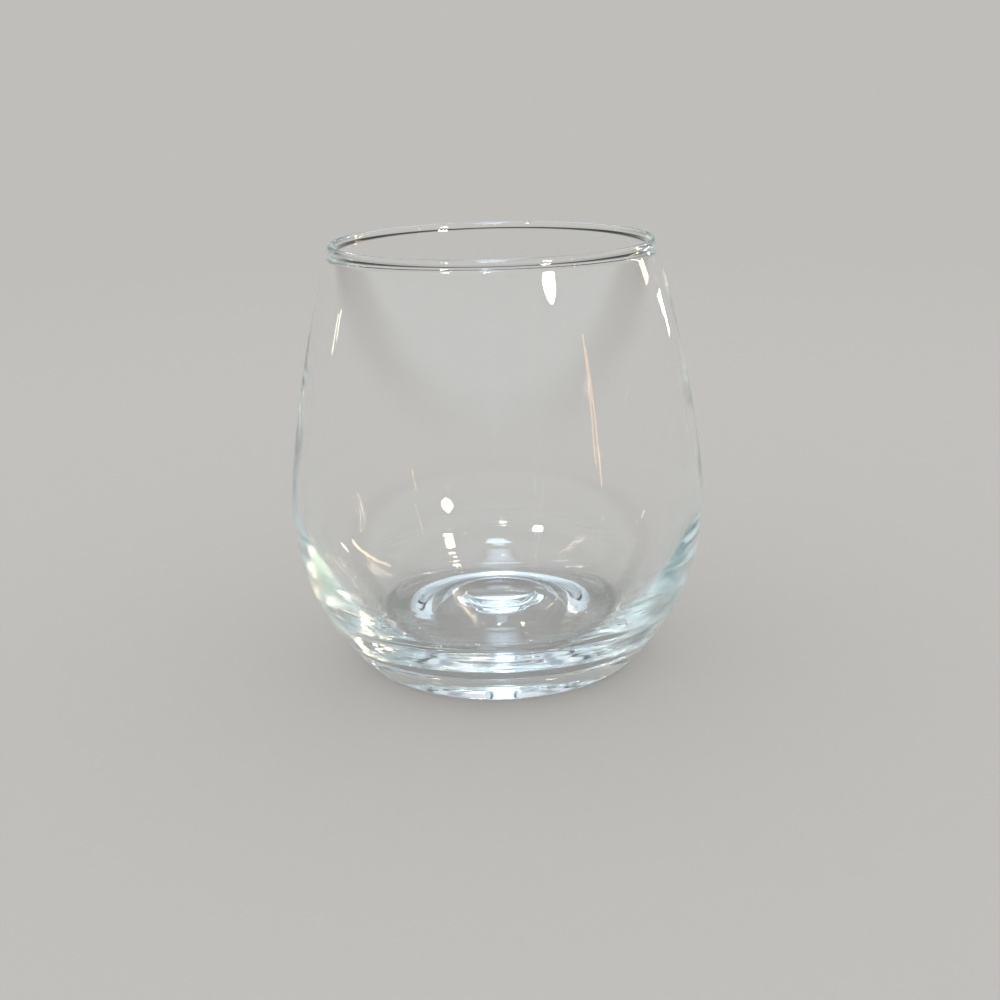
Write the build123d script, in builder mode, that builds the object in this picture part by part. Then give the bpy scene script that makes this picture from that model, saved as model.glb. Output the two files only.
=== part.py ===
from build123d import *

import os

# Stemless wine glass of clear soda-lime glass, blown in a mould, with a fire-polished rim.
# Millimetres, +Z up, the origin at the middle of the ring that the glass stands on.
# A pull is the length of a curve's handle: the longer it is, the longer the curve keeps its direction.

# Outer shape
height = 97.3
belly_diameter = 95.0
belly_height = 39.3
mouth_diameter = 73.2
foot_diameter = 59.4

# Heel, from the flat bearing ring up to the belly
foot_round = 4.5
heel_angle = 50.0
heel_pull = 9.0
belly_pull_down = 21.6

# Upper wall, from the belly in to the rim
belly_pull_up = 9.1
lip_pull = 15.7
lip_lean = 20.9

# Thickness of the glass: at the rim, and at the belly, from where it grows downwards
lip_wall = 1.4
belly_wall = 2.0
bead_diameter = 2.0

# Inner floor: a low dome inside a ring-shaped trough, which curves up into the wall
trough_diameter = 56.0
trough_height = 8.0
trough_pull = 5.5
inner_heel_pull = 17.0
dome_rise = 4.5
dome_edge_pull = 4.2
dome_crown_pull = 19.0

# Hollow under the base, which pushes the dome up
punt_diameter = 45.0
punt_depth = 6.7
punt_edge_pull = 4.5
punt_crown_pull = 17.0

# Low round boss that the mould leaves in the middle of the hollow
boss_diameter = 21.0
boss_drop = 0.6
boss_face_pull = 11.5
boss_edge_pull = 4.5

# How far the thick base reaches above the dome, to where the blown wall begins
base_above_dome = 2.5

# Radii and levels that follow from these
belly_radius = belly_diameter / 2
inner_radius = belly_radius - belly_wall
mouth_radius = mouth_diameter / 2
bead_radius = bead_diameter / 2
foot_radius = foot_diameter / 2
trough_radius = trough_diameter / 2
dome_height = trough_height + dome_rise
punt_radius = punt_diameter / 2
boss_radius = boss_diameter / 2
boss_face = punt_depth - boss_drop
bead_middle = (mouth_radius - bead_radius, height - bead_radius)

# The inside of the wall is flush with the bead, which stands proud outside only
lip_inside = Vector(mouth_radius - bead_diameter, height - bead_radius)
lip_outside = lip_inside + Vector(lip_wall, 0)
lip_handle = Vector(0, -lip_pull).rotate(Axis.Z, lip_lean)

# The whole glass: one section turned about its upright axis
with BuildPart() as glass:
    with BuildSketch(Plane.XZ) as section:
        with BuildLine() as outline:
            boss = Bezier(
                (0, boss_face),
                (boss_face_pull, boss_face),
                (boss_radius - boss_edge_pull, punt_depth),
                (boss_radius, punt_depth),
            )
            punt = Bezier(
                boss @ 1,
                (punt_crown_pull, punt_depth),
                (punt_radius - punt_edge_pull, 0),
                (punt_radius, 0),
            )
            bearing_ring = Line(punt @ 1, (foot_radius, 0))
            foot = JernArc(bearing_ring @ 1, bearing_ring % 1, foot_round, heel_angle)
            heel = Bezier(
                foot @ 1,
                foot @ 1 + (foot % 1) * heel_pull,
                (belly_radius, belly_height - belly_pull_down),
                (belly_radius, belly_height),
            )
            upper_wall = Bezier(
                heel @ 1,
                (belly_radius, belly_height + belly_pull_up),
                lip_outside + lip_handle,
                lip_outside,
            )
            lip = Line(lip_outside, lip_inside)
            inner_upper_wall = Bezier(
                lip_inside,
                lip_inside + lip_handle,
                (inner_radius, belly_height + belly_pull_up),
                (inner_radius, belly_height),
            )
            inner_heel = Bezier(
                inner_upper_wall @ 1,
                (inner_radius, belly_height - inner_heel_pull),
                (trough_radius + trough_pull, trough_height),
                (trough_radius, trough_height),
            )
            dome = Bezier(
                inner_heel @ 1,
                (trough_radius - dome_edge_pull, trough_height),
                (dome_crown_pull, dome_height),
                (0, dome_height),
            )
            middle = Line(dome @ 1, boss @ 0)
        make_face()
        with Locations(bead_middle):
            Circle(bead_radius)
    revolve(axis=Axis.Z)

# The zones of the glass, parted under the bead, at the widest level and at the top of the base
under_bead = Plane.XY.offset(height - bead_diameter)
widest_level = Plane.XY.offset(belly_height)
top_of_base = Plane.XY.offset(dome_height + base_above_dome)

# Rim bead: melted round by the flame
with BuildPart() as rim_bead:
    add(glass.part)
    split(bisect_by=under_bead, keep=Keep.TOP)
rim_bead.part.label = "rim_bead"

# Upper bowl: the thin blown wall that narrows from the belly to the rim
with BuildPart() as upper_bowl:
    add(glass.part)
    split(bisect_by=under_bead, keep=Keep.BOTTOM)
    split(bisect_by=widest_level, keep=Keep.TOP)
upper_bowl.part.label = "upper_bowl"

# Lower bowl: the wall under the belly, which thickens downwards
with BuildPart() as lower_bowl:
    add(glass.part)
    split(bisect_by=widest_level, keep=Keep.BOTTOM)
    split(bisect_by=top_of_base, keep=Keep.TOP)
lower_bowl.part.label = "lower_bowl"

# Base: the heel, the domed floor, the bearing ring and the hollow under it
with BuildPart() as base:
    add(glass.part)
    split(bisect_by=top_of_base, keep=Keep.BOTTOM)
base.part.label = "base"

os.makedirs("parts", exist_ok=True)
for zone in (rim_bead, upper_bowl, lower_bowl, base):
    export_step(zone.part, f"parts/{zone.part.label}.step")
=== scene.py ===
import math
from collections import namedtuple

import bmesh
import bpy
from mathutils import Matrix, Vector, noise
from mathutils.geometry import interpolate_bezier


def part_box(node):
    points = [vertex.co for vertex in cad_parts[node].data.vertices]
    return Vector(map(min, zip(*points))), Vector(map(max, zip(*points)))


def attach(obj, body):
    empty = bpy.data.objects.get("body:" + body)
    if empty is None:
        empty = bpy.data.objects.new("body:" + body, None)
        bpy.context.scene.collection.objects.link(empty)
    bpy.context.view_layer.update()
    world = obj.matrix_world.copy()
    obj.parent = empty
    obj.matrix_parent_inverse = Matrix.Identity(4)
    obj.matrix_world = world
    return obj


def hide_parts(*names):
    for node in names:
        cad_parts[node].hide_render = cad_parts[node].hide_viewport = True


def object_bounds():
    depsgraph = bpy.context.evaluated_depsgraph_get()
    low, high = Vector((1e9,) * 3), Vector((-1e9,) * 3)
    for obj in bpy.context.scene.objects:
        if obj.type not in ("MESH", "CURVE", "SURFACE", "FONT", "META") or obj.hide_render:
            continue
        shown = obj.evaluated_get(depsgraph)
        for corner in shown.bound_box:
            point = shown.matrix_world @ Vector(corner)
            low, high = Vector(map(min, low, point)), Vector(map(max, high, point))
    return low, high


# Stemless wine glass, blown in one piece. Metres, +Z up, standing on the ring at the origin.
# A pull is the length of a curve's handle: the longer it is, the longer the curve keeps its direction.
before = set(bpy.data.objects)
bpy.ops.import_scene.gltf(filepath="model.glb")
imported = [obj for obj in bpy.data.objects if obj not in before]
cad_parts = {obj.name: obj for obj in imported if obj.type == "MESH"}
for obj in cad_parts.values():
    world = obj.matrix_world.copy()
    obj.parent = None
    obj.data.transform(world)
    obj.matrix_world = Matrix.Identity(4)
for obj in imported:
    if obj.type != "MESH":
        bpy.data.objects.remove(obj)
cad_low, cad_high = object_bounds()

MM = 0.001

# Outer shape, from the solids
ZONES = ("rim_bead", "upper_bowl", "lower_bowl", "base")
HEIGHT = cad_high.z
MOUTH_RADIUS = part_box("rim_bead")[1].x
BELLY_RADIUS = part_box("lower_bowl")[1].x
BELLY_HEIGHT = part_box("lower_bowl")[1].z
FOOT_RADIUS = 29.7 * MM

# Heel, from the bearing ring up to the belly
FOOT_ROUND = 4.5 * MM
HEEL_ANGLE = math.radians(50.0)
HEEL_PULL = 9.0 * MM
BELLY_PULL_DOWN = 21.6 * MM

# Upper wall, from the belly in to the rim
BELLY_PULL_UP = 9.1 * MM
LIP_PULL = 15.7 * MM
LIP_LEAN = math.radians(20.9)
LIP_DOWN = Vector((math.sin(LIP_LEAN), 0, -math.cos(LIP_LEAN)))
LIP_WALL = 1.4 * MM
BELLY_WALL = 2.0 * MM

# Rim bead, and the small hollow where it runs out into the wall
BEAD_RADIUS = 1.0 * MM
NECK_DROP = 1.45 * MM
NECK_PULL = 0.4 * MM
NECK_ANGLE = math.radians(-20.0)

# Inner floor: a low dome inside a ring-shaped trough, over the hollow that pushes it up
TROUGH_RADIUS = 28.0 * MM
TROUGH_HEIGHT = 8.0 * MM
TROUGH_PULL = 5.5 * MM
INNER_HEEL_PULL = 17.0 * MM
DOME_RISE = 4.5 * MM
DOME_EDGE_PULL = 4.2 * MM
DOME_CROWN_PULL = 19.0 * MM
PUNT_RADIUS = 22.5 * MM
PUNT_DEPTH = 6.7 * MM
PUNT_EDGE_PULL = 4.5 * MM
PUNT_CROWN_PULL = 17.0 * MM

# Low round boss that the mould leaves in the middle of the hollow
BOSS_RADIUS = 10.5 * MM
BOSS_DROP = 0.6 * MM
BOSS_FACE_PULL = 11.5 * MM
BOSS_EDGE_PULL = 4.5 * MM

# Waves that the blowing leaves in the skins, the length over which they die out towards the rim, the table
# and the axis, and the share of it that stays true
INNER_WAVE = 0.12 * MM
OUTER_WAVE = 0.05 * MM
WAVE_LENGTH = 13.0 * MM
WAVE_FADE = 9.0 * MM
TRUE_SHARE = 0.3

# Lumps and drawn-out rings low down, where the mould chilled the glass
LUMP = 0.025 * MM
LUMP_LENGTH = 5.0 * MM
CHILL_RING = 0.055 * MM
CHILL_RING_LENGTH = 0.9 * MM
CHILL_RING_TURNS = 1.6
CHILL_TOP = 34.0 * MM
CHILL_FULL = 18.0 * MM
CHILL_FADE = 2.5 * MM

# The inner skin: how level its floor is at least, and a shift that keeps its pattern unlike the outer skin's
INNER_LEVEL = 0.9
INNER_SHIFT = 7.0

# Mesh: steps round the axis and spacing along the section, closer in the thick base
TURN_STEPS = 192
SPACING = 1.3 * MM
BASE_SPACING = 0.45 * MM
HEEL_SPACING = 0.3 * MM
INNER_HEEL_SPACING = 0.4 * MM
ARC_STEP = math.radians(12.0)
ARC_STEPS_LEAST = 4
CURVE_STEPS_LEAST = 6
MERGE = 0.001 * MM

# Glass: its refractive index, its surface, and the colour and density per metre of its faint tint
GLASS_INDEX = 1.52
GLASS_COLOUR = "#FFFFFF"
GLASS_TINT = "#A0DAD4"
GLASS_TINT_DENSITY = 2.2

# Scuffs on the bearing ring: their size, their height above the table and how dull they are
SCUFF_LENGTH = 1.5 * MM
SCUFF_DETAIL = 4.0
SCUFF_GRAIN = 0.7
SCUFF_HEIGHT = 0.25 * MM
SCUFF_DULLNESS = 0.45

# Floor: a pale disc that blends into a backdrop of the same colour between two distances
FLOOR_COLOUR = "#C0BEBA"
FLOOR_DROP = 0.1 * MM
FLOOR_REACH = 4.0
FLOOR_SIDES = 128
FLOOR_BLEND = (0.25, 0.8)

# Even soft light that falls on the floor
AMBIENT_COLOUR = "#FFFFFF"
AMBIENT = 1.06

# What the glass mirrors above the backdrop, from low to high: the sine of the height where each band begins
# and where it is full, how much higher it lies behind the glass than in front, and its colour
DARK_BAND = "#24262A"
CEILING = "#E6F1F9"
CEILING_GAP = "#A3AFB7"
BANDS = (
    (0.08, 0.16, 0.0, DARK_BAND),
    (0.21, 0.34, 0.15, CEILING),
    (0.66, 0.72, 0.0, CEILING_GAP),
    (0.80, 0.86, 0.0, CEILING),
)

# Lamps: bearing from straight behind the glass, turning right, and height, both in degrees; distance, width
# and length in metres; whether the face is round; how much of it fades out; colour; strength
Lamp = namedtuple("Lamp", "turn rise distance width length is_round fade colour strength")
LAMPS = {
    "right_panel": Lamp(46, 2, 0.8, 0.035, 0.055, False, 0.3, "#FFFFFF", 18.0),
    "left_panel": Lamp(-68, 6, 0.8, 0.03, 0.055, False, 0.8, "#FFF8E0", 8.0),
    "side_strip": Lamp(58, 22, 0.8, 0.05, 0.38, False, 0.3, "#FFE2B0", 12.0),
    "warm_strip": Lamp(124, 6, 0.8, 0.012, 0.22, False, 0.3, "#FFC766", 9.0),
    "warm_lamp": Lamp(141, 27, 0.9, 0.12, 0.15, True, 0.2, "#FFE9C4", 120.0),
    "small_lamp": Lamp(-143, 46, 0.9, 0.11, 0.07, True, 0.2, "#FFFFFF", 120.0),
    "spot_lamp": Lamp(-175, 46, 0.9, 0.07, 0.06, True, 0.2, "#FFFFFF", 60.0),
    "ceiling_lamp": Lamp(180, 62, 0.9, 0.27, 0.14, True, 0.3, "#CFEAF4", 16.0),
    "rear_panel": Lamp(0, 35, 0.9, 0.22, 0.20, False, 0.7, "#D2EAFF", 4.0),
    "overhead_strip": Lamp(0, 88, 0.95, 0.28, 0.78, False, 0.8, "#CCE6FF", 6.5),
}

# A lamp's face: the sides of a round one, and half its width before it is scaled
LAMP_SIDES = 48
HALF_FACE = 0.5

# Camera: height, distance and tilt that the outline in the photograph gives
FOCAL_PIXELS = 1436.0
IMAGE_PIXELS = 1000.0
SENSOR = 36.0
CAMERA_NEAR = 10.0 * MM
CAMERA_PLACE = Vector((0.507, -321.1, 134.3)) * MM
CAMERA_TILT = 0.295
CAMERA_ROLL = 0.0255

# Light paths: long enough for light that runs along inside the wall, with strong highlights and a clear base
BOUNCES = 128
HIGHLIGHT_LIMIT = 60.0
FLOOR_FILTER = 0.3


def linear(code, alpha=1.0):
    """An sRGB hex colour as linear red, green, blue and alpha."""
    shares = [int(code[i:i + 2], 16) / 255 for i in (1, 3, 5)]
    return [s / 12.92 if s <= 0.04045 else ((s + 0.055) / 1.055) ** 2.4 for s in shares] + [alpha]


def add_node(tree, kind, inputs=None, **settings):
    """Adds a node with its settings, and gives each named input a value or a link from another socket."""
    made = tree.nodes.new(kind)
    for name, value in settings.items():
        setattr(made, name, value)
    for name, value in (inputs or {}).items():
        if isinstance(value, bpy.types.NodeSocket):
            tree.links.new(value, made.inputs[name])
        else:
            made.inputs[name].default_value = value
    return made


def ramp(tree, value, low, high, start=0.0, end=1.0, kind="SMOOTHSTEP"):
    """A socket that goes from start to end while the value goes from low to high."""
    ends = {"Value": value, "From Min": low, "From Max": high, "To Min": start, "To Max": end}
    return add_node(tree, "ShaderNodeMapRange", ends, interpolation_type=kind).outputs[0]


def mix_shaders(tree, share, first, second):
    """The first shader where the share is 0, and the second where it is 1."""
    return add_node(tree, "ShaderNodeMixShader", {0: share, 1: first, 2: second}).outputs[0]


def new_material(name):
    """A material and its node tree, still empty."""
    material = bpy.data.materials.new(name)
    material.use_nodes = True
    material.node_tree.nodes.clear()
    return material, material.node_tree


def new_object(name, shape):
    """Turns a bmesh into a smooth object at the origin."""
    mesh = bpy.data.meshes.new(name)
    shape.to_mesh(mesh)
    shape.free()
    mesh.shade_smooth()
    made = bpy.data.objects.new(name, mesh)
    bpy.context.scene.collection.objects.link(made)
    return made


def at(radius, height):
    """A point of the glass's section, in the plane that is spun about the axis."""
    return Vector((radius, 0, height))


def arc(centre, radius, start, end):
    """Points on a round stretch of the section, from one angle to another."""
    steps = max(ARC_STEPS_LEAST, round(abs(end - start) / ARC_STEP))
    angles = [start + (end - start) * i / steps for i in range(steps + 1)]
    return [centre + at(math.cos(a), math.sin(a)) * radius for a in angles]


def curve(start, start_handle, end_handle, end, spacing=SPACING):
    """Points on a free curve of the section, about evenly close together."""
    steps = max(CURVE_STEPS_LEAST, round((end - start).length / spacing))
    return interpolate_bezier(start, start_handle, end_handle, end, steps + 1)


def straight(start, end):
    """Points on a straight stretch of the section."""
    steps = max(1, round((end - start).length / SPACING))
    return [start.lerp(end, i / steps) for i in range(steps + 1)]


def underside():
    """The section from the axis out: the boss, the hollow, the bearing ring and the round of the foot."""
    boss_face = at(0, PUNT_DEPTH - BOSS_DROP)
    boss_edge = at(BOSS_RADIUS, PUNT_DEPTH)
    boss = curve(
        boss_face,
        boss_face + at(BOSS_FACE_PULL, 0),
        boss_edge - at(BOSS_EDGE_PULL, 0),
        boss_edge,
        BASE_SPACING,
    )
    punt_edge = at(PUNT_RADIUS, 0)
    punt = curve(
        boss_edge,
        at(PUNT_CROWN_PULL, PUNT_DEPTH),
        punt_edge - at(PUNT_EDGE_PULL, 0),
        punt_edge,
        BASE_SPACING,
    )
    bearing_ring = straight(punt_edge, at(FOOT_RADIUS, 0))
    foot_centre = at(FOOT_RADIUS, FOOT_ROUND)
    foot = arc(foot_centre, FOOT_ROUND, -math.pi / 2, HEEL_ANGLE - math.pi / 2)
    return [boss, punt, bearing_ring, foot]


def outside(foot_end):
    """The section from the foot up: the heel, the upper wall, the neck and the bead."""
    belly = at(BELLY_RADIUS, BELLY_HEIGHT)
    heel_direction = at(math.cos(HEEL_ANGLE), math.sin(HEEL_ANGLE))
    heel = curve(
        foot_end,
        foot_end + heel_direction * HEEL_PULL,
        belly - at(0, BELLY_PULL_DOWN),
        belly,
        HEEL_SPACING,
    )
    bead_centre = at(MOUTH_RADIUS - BEAD_RADIUS, HEIGHT - BEAD_RADIUS)
    lip_outside = bead_centre + at(LIP_WALL - BEAD_RADIUS, 0)
    upper_wall = curve(belly, belly + at(0, BELLY_PULL_UP), lip_outside + LIP_DOWN * LIP_PULL, lip_outside)
    upper_wall = [point for point in upper_wall if point.z < lip_outside.z - NECK_DROP]
    bead = arc(bead_centre, BEAD_RADIUS, NECK_ANGLE, math.pi + LIP_LEAN)
    bead_foot_direction = at(-math.sin(NECK_ANGLE), math.cos(NECK_ANGLE))
    neck_start = upper_wall[-1]
    neck = curve(
        neck_start,
        neck_start - LIP_DOWN * NECK_PULL,
        bead[0] - bead_foot_direction * NECK_PULL,
        bead[0],
    )
    return [heel, upper_wall, neck, bead]


def inside(bead_end):
    """The section from the bead down: the inner wall, the inner heel and the dome of the floor."""
    inner_belly = at(BELLY_RADIUS - BELLY_WALL, BELLY_HEIGHT)
    inner_wall = curve(
        bead_end,
        bead_end + LIP_DOWN * LIP_PULL,
        inner_belly + at(0, BELLY_PULL_UP),
        inner_belly,
    )
    trough = at(TROUGH_RADIUS, TROUGH_HEIGHT)
    inner_heel = curve(
        inner_belly,
        inner_belly - at(0, INNER_HEEL_PULL),
        trough + at(TROUGH_PULL, 0),
        trough,
        INNER_HEEL_SPACING,
    )
    crown = at(0, TROUGH_HEIGHT + DOME_RISE)
    dome = curve(trough, trough - at(DOME_EDGE_PULL, 0), crown + at(DOME_CROWN_PULL, 0), crown, BASE_SPACING)
    return [inner_wall, inner_heel, dome]


def glass_section():
    """The glass cut through its axis: under the base, up the outside, over the rim and down the inside."""
    below = underside()
    outer = outside(below[-1][-1])
    return below + outer + inside(outer[-1][-1])


def dent(place, depth):
    """A smooth dent of up to the given depth, never a bulge, so the skin stays inside its true shape."""
    return (noise.noise(place) - 1) / 2 * depth


def share(value):
    """The value, kept between 0 and 1."""
    return min(1.0, max(0.0, value))


def settle_skin(shape):
    """Dents the skins a little, as blown glass lies, and leaves the rim, the ring and the poles true."""
    shape.normal_update()
    moves = {}
    for vert in shape.verts:
        outward = Vector((vert.co.x, vert.co.y, 0))
        radius = outward.length
        inner_skin = vert.normal.dot(outward) < 0 or vert.normal.z > INNER_LEVEL
        side = Vector((0, 0, INNER_SHIFT if inner_skin else 0.0))
        room = min(HEIGHT - vert.co.z, radius if inner_skin else vert.co.z)
        fade = share(room / WAVE_FADE - TRUE_SHARE)
        chill = share((CHILL_TOP - vert.co.z) / (CHILL_TOP - CHILL_FULL))
        chill *= share(room / CHILL_FADE)
        around = outward.normalized() * CHILL_RING_TURNS if radius > MERGE else Vector()
        ring = around + Vector((0, 0, (radius + vert.co.z) / CHILL_RING_LENGTH))
        depth = dent(vert.co / WAVE_LENGTH + side, INNER_WAVE if inner_skin else OUTER_WAVE) * fade
        depth += dent(vert.co / LUMP_LENGTH + side, LUMP) * chill
        depth += dent(ring + side, CHILL_RING) * chill * math.hypot(vert.normal.x, vert.normal.y)
        moves[vert] = vert.normal * depth
    for vert, move in moves.items():
        vert.co += move


def blow_glass():
    """The glass: its section spun once round the axis, closed at both poles."""
    shape = bmesh.new()
    for stretch in glass_section():
        points = [shape.verts.new(point) for point in stretch]
        for first, second in zip(points, points[1:]):
            shape.edges.new((first, second))
    bmesh.ops.remove_doubles(shape, verts=shape.verts, dist=MERGE)
    bmesh.ops.spin(
        shape,
        geom=shape.verts[:] + shape.edges[:],
        cent=(0, 0, 0),
        axis=(0, 0, 1),
        angle=math.tau,
        steps=TURN_STEPS,
        use_merge=True,
    )
    bmesh.ops.remove_doubles(shape, verts=shape.verts, dist=MERGE)
    bmesh.ops.recalc_face_normals(shape, faces=shape.faces)
    settle_skin(shape)
    return new_object("stemless_glass", shape)


def soda_lime_glass():
    """Clear soda-lime glass, fire-polished: mirror smooth, colourless through the wall and faintly
    blue-green down the length of the thick base, with a bearing ring that tables have scuffed."""
    material, tree = new_material("fire_polished_soda_lime_glass")
    place = add_node(tree, "ShaderNodeTexCoord").outputs["Object"]
    height = add_node(tree, "ShaderNodeSeparateXYZ", {0: place}).outputs["Z"]
    scuffs = add_node(
        tree,
        "ShaderNodeTexNoise",
        {"Vector": place, "Scale": 1 / SCUFF_LENGTH, "Detail": SCUFF_DETAIL, "Roughness": SCUFF_GRAIN},
    )
    worn = ramp(tree, height, 0.0, SCUFF_HEIGHT, SCUFF_DULLNESS, 0.0, "LINEAR")
    roughness = add_node(tree, "ShaderNodeMath", {0: worn, 1: scuffs.outputs["Fac"]}, operation="MULTIPLY")
    surface = add_node(
        tree,
        "ShaderNodeBsdfPrincipled",
        {
            "Base Color": linear(GLASS_COLOUR),
            "Roughness": roughness.outputs[0],
            "IOR": GLASS_INDEX,
            "Transmission Weight": 1.0,
        },
    )
    depth = add_node(
        tree,
        "ShaderNodeVolumeAbsorption",
        {"Color": linear(GLASS_TINT), "Density": GLASS_TINT_DENSITY},
    )
    add_node(
        tree,
        "ShaderNodeOutputMaterial",
        {"Surface": surface.outputs[0], "Volume": depth.outputs[0]},
    )
    return material


def floor_material():
    """Matt pale paper: lit near the glass, and as bright as the backdrop further out."""
    material, tree = new_material("pale_paper_floor")
    place = add_node(tree, "ShaderNodeTexCoord").outputs["Object"]
    reach = add_node(tree, "ShaderNodeVectorMath", {0: place}, operation="LENGTH").outputs["Value"]
    paper = add_node(tree, "ShaderNodeBsdfDiffuse", {"Color": linear(FLOOR_COLOUR)})
    backdrop = add_node(tree, "ShaderNodeEmission", {"Color": linear(FLOOR_COLOUR)})
    shown = mix_shaders(tree, ramp(tree, reach, *FLOOR_BLEND), paper.outputs[0], backdrop.outputs[0])
    add_node(tree, "ShaderNodeOutputMaterial", {"Surface": shown})
    return material


def lay_floor():
    """The floor, a wide disc just under the bearing ring."""
    shape = bmesh.new()
    bmesh.ops.create_circle(shape, cap_ends=True, segments=FLOOR_SIDES, radius=FLOOR_REACH)
    bmesh.ops.translate(shape, verts=shape.verts, vec=(0, 0, -FLOOR_DROP))
    floor = new_object("pale_floor", shape)
    floor.data.materials.append(floor_material())


def lamp_face(lamp):
    """The lit face of a lamp, flat and facing up, with its face mapped from edge to edge."""
    shape = bmesh.new()
    shape.loops.layers.uv.new("face")
    if lamp.is_round:
        bmesh.ops.create_circle(shape, cap_ends=True, segments=LAMP_SIDES, radius=HALF_FACE, calc_uvs=True)
    else:
        bmesh.ops.create_grid(shape, x_segments=1, y_segments=1, size=HALF_FACE, calc_uvs=True)
    bmesh.ops.scale(shape, verts=shape.verts, vec=(lamp.width, lamp.length, 1))
    return shape


def lamp_material(name, lamp):
    """A lamp's light, which fades towards the edges of its face. To the floor's light it is clear."""
    material, tree = new_material(name)
    face = add_node(tree, "ShaderNodeUVMap", uv_map="face").outputs["UV"]
    across = Vector((1, 1, 0)) if lamp.is_round else Vector((1, 0, 0))
    spread = add_node(tree, "ShaderNodeVectorMath", {0: face, 1: across}, operation="MULTIPLY")
    off_middle = add_node(
        tree,
        "ShaderNodeVectorMath",
        {0: spread.outputs[0], 1: across * HALF_FACE},
        operation="DISTANCE",
    ).outputs["Value"]
    glow = ramp(tree, off_middle, HALF_FACE * (1 - lamp.fade), HALF_FACE, lamp.strength, 0.0)
    light = add_node(tree, "ShaderNodeEmission", {"Color": linear(lamp.colour), "Strength": glow})
    clear = add_node(tree, "ShaderNodeBsdfTransparent")
    floor_light = add_node(tree, "ShaderNodeLightPath").outputs["Diffuse Depth"]
    shown = mix_shaders(tree, floor_light, light.outputs[0], clear.outputs[0])
    add_node(tree, "ShaderNodeOutputMaterial", {"Surface": shown})
    material.cycles.emission_sampling = "NONE"
    return material


def hang_lamp(name, lamp):
    """A soft lamp that faces the glass, seen in its reflections but not by the camera."""
    turn, rise = math.radians(lamp.turn), math.radians(lamp.rise)
    away = Vector((math.sin(turn) * math.cos(rise), math.cos(turn) * math.cos(rise), math.sin(rise)))
    place = Vector((0, 0, HEIGHT / 2)) + away * lamp.distance
    facing = away.to_track_quat("Z", "Y").to_matrix().to_4x4()
    shape = lamp_face(lamp)
    bmesh.ops.transform(shape, verts=shape.verts, matrix=Matrix.Translation(place) @ facing)
    made = new_object(name, shape)
    made.visible_camera = False
    made.visible_shadow = False
    made.data.materials.append(lamp_material(name, lamp))


def surround():
    """The world: even light on the floor, a pale backdrop, and the bands that the glass mirrors."""
    world = bpy.data.worlds.new("studio")
    world.use_nodes = True
    bpy.context.scene.world = world
    tree = world.node_tree
    tree.nodes.clear()
    path = add_node(tree, "ShaderNodeLightPath")
    direction = add_node(tree, "ShaderNodeTexCoord").outputs["Generated"]
    mirrored = linear(FLOOR_COLOUR)
    for low, high, tilt, colour in BANDS:
        upward = (0, -tilt, 1)
        height = add_node(tree, "ShaderNodeVectorMath", {0: direction, 1: upward}, operation="DOT_PRODUCT")
        above = ramp(tree, height.outputs["Value"], low, high)
        mixed = add_node(
            tree,
            "ShaderNodeMix",
            {"Factor": above, 6: mirrored, 7: linear(colour)},
            data_type="RGBA",
        )
        mirrored = mixed.outputs[2]
    bands = add_node(tree, "ShaderNodeBackground", {"Color": mirrored})
    ambient = add_node(tree, "ShaderNodeBackground", {"Color": linear(AMBIENT_COLOUR), "Strength": AMBIENT})
    backdrop = add_node(tree, "ShaderNodeBackground", {"Color": linear(FLOOR_COLOUR)})
    unseen = mix_shaders(tree, path.outputs["Diffuse Depth"], bands.outputs[0], ambient.outputs[0])
    shown = mix_shaders(tree, path.outputs["Is Camera Ray"], unseen, backdrop.outputs[0])
    add_node(tree, "ShaderNodeOutputWorld", {"Surface": shown})


def set_camera():
    """The camera at the photograph's height, distance and tilt, turned a little as the photograph is."""
    lens = bpy.data.cameras.new("camera")
    lens.sensor_width = SENSOR
    lens.lens = SENSOR * FOCAL_PIXELS / IMAGE_PIXELS
    lens.clip_start = CAMERA_NEAR
    camera = bpy.data.objects.new("camera", lens)
    bpy.context.scene.collection.objects.link(camera)
    camera.location = CAMERA_PLACE
    look = Matrix.Rotation(math.pi / 2 - CAMERA_TILT, 4, "X") @ Matrix.Rotation(-CAMERA_ROLL, 4, "Z")
    camera.rotation_euler = look.to_euler()
    bpy.context.scene.camera = camera


glass = blow_glass()
glass.data.materials.append(soda_lime_glass())
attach(glass, "root")
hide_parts(*ZONES)

lay_floor()
surround()
for lamp_name, lamp in LAMPS.items():
    hang_lamp(lamp_name, lamp)
set_camera()

scene = bpy.context.scene
scene.view_settings.view_transform = "Standard"
scene.cycles.max_bounces = BOUNCES
scene.cycles.transmission_bounces = BOUNCES
scene.cycles.glossy_bounces = BOUNCES
scene.cycles.sample_clamp_indirect = HIGHLIGHT_LIMIT
scene.cycles.blur_glossy = FLOOR_FILTER
